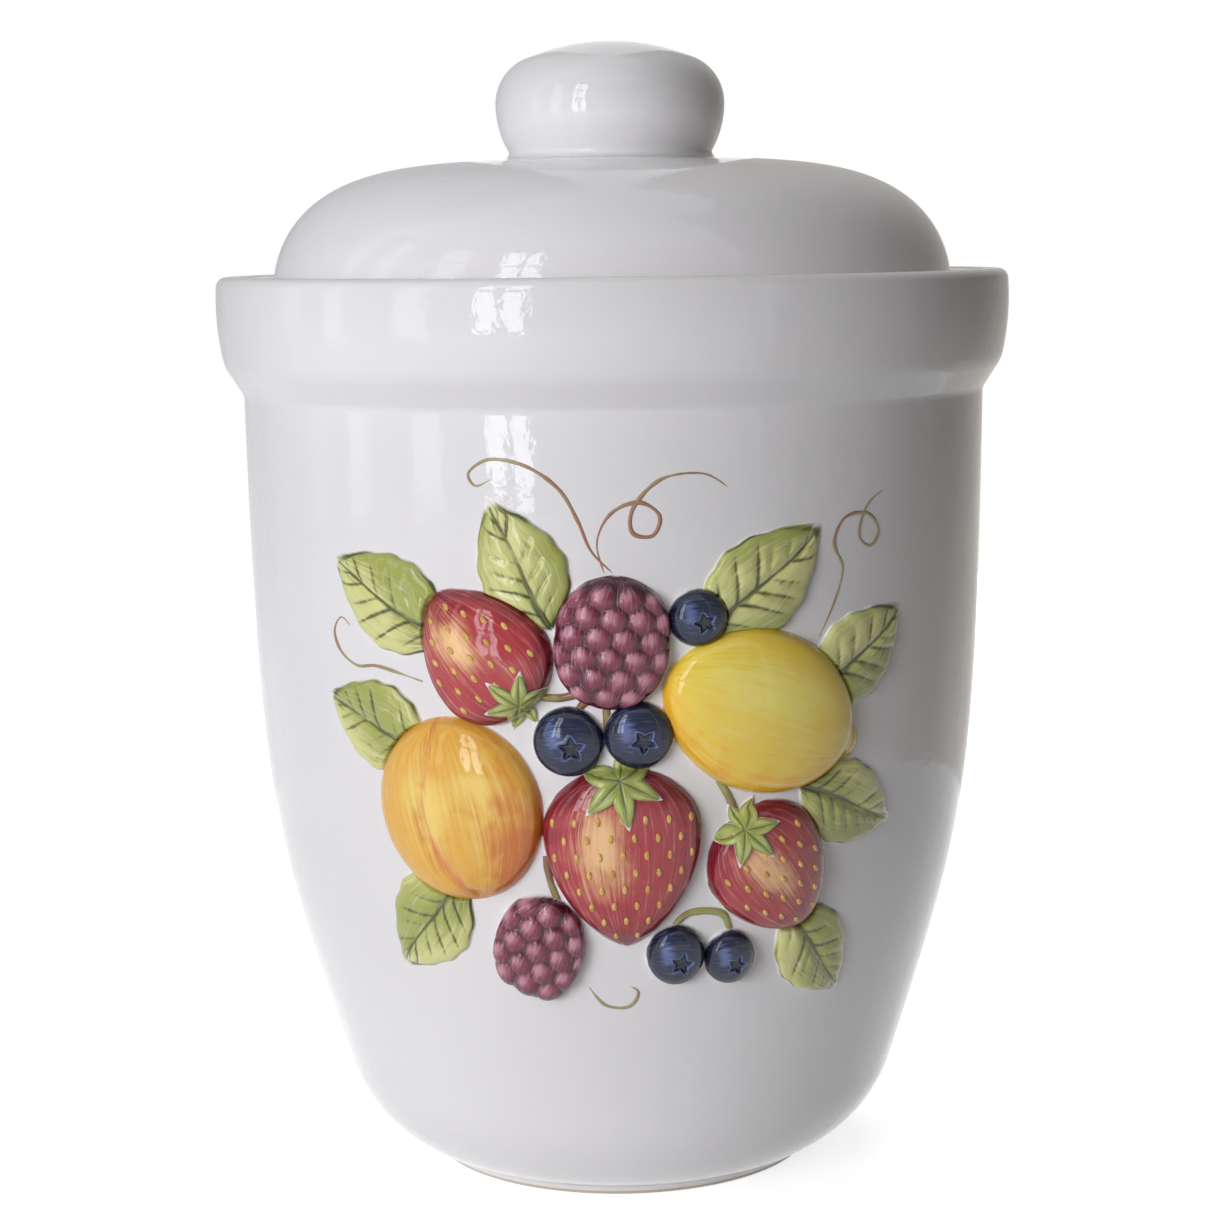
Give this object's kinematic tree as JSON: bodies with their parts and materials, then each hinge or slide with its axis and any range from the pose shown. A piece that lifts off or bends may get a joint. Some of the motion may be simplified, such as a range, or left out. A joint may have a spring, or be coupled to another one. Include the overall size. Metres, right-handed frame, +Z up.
{
  "type": "rum pot",
  "caption": "Lidded stoneware rum pot with a belted collar, a domed lid set down inside it, a round knob and moulded, painted fruit on the front.",
  "frame": {"origin": "middle of the foot ring, on the table", "axes": "+Z up along the pot's axis, -Y towards the viewer on the fruit side, +X to the viewer's right"},
  "size_m": [0.1962, 0.1962, 0.2784],
  "materials": {
    "white_glaze": "clear gloss over white glaze",
    "lemon_paint": "underglaze paint under clear gloss",
    "apricot_paint": "underglaze paint under clear gloss",
    "strawberry_paint": "underglaze paint under clear gloss",
    "bramble_paint": "underglaze paint under clear gloss",
    "blueberry_paint": "underglaze paint under clear gloss",
    "leaf_paint": "underglaze paint under clear gloss"
  },
  "bodies": {
    "pot": {"pot_body": "white_glaze", "lemon": "lemon_paint", "apricot": "apricot_paint", "strawberry_1": "strawberry_paint", "strawberry_2": "strawberry_paint", "strawberry_3": "strawberry_paint", "bramble_1": "bramble_paint", "bramble_2": "bramble_paint", "blueberry_1": "blueberry_paint", "blueberry_2": "blueberry_paint", "blueberry_3": "blueberry_paint", "blueberry_4": "blueberry_paint", "blueberry_5": "blueberry_paint", "leaf_1": "leaf_paint", "leaf_2": "leaf_paint", "leaf_3": "leaf_paint", "leaf_4": "leaf_paint", "leaf_5": "leaf_paint", "leaf_6": "leaf_paint", "leaf_7": "leaf_paint", "leaf_8": "leaf_paint"},
    "lid": {"lid": "white_glaze", "lid_knob": "white_glaze"}
  },
  "joints": [
    {"name": "lid_lift", "type": "slide", "parent": "pot", "child": "lid", "axis": [0, 0, 1], "range_m": [0, 0.15]}
  ]
}
